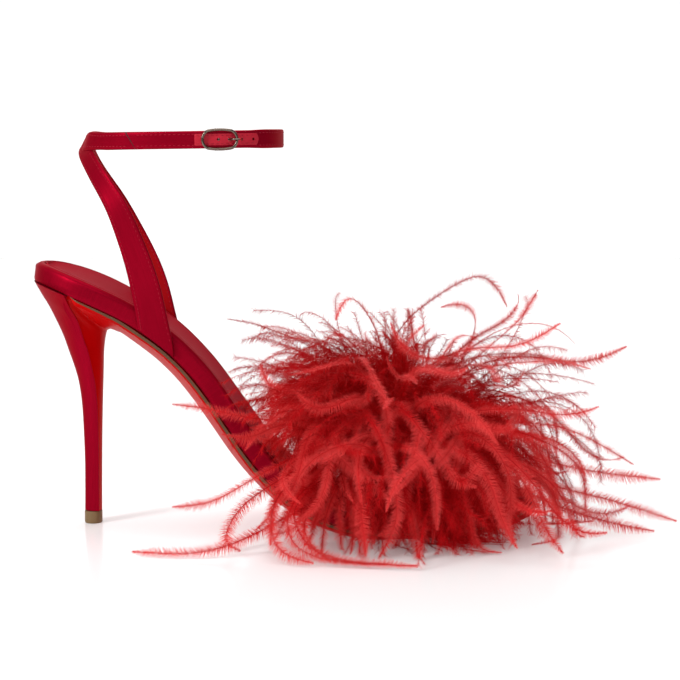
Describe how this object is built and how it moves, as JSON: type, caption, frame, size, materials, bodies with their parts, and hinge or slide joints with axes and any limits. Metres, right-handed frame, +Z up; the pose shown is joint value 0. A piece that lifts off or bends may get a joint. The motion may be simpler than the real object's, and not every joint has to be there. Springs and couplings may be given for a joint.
{
  "type": "feather-trimmed strappy heeled sandal",
  "caption": "Right high-heeled sandal with satin straps that cross behind the ankle, a buckled ankle loop and a feather trim over the toes.",
  "frame": {"origin": "middle of the heel tip's bottom face, on the floor", "axes": "+Z up, +X towards the toe, -Y to the outer side of the foot, where the buckle is"},
  "size_m": [0.2663, 0.1574, 0.1618],
  "materials": {
    "red_satin": "satin",
    "red_lacquer": "gloss",
    "red_leather": "satin",
    "tan_rubber": "matte",
    "red_feather": "matte",
    "bronze": "gloss"
  },
  "bodies": {
    "root": {"footbed": "red_satin", "sock_lining": "red_leather", "heel": "red_satin", "heel_tip": "tan_rubber", "outsole": "red_lacquer", "ankle_straps": "red_satin", "buckle_frame": "bronze", "buckle_prong": "bronze", "vamp_band": "red_satin", "feather_trim": "red_feather"}
  },
  "joints": []
}
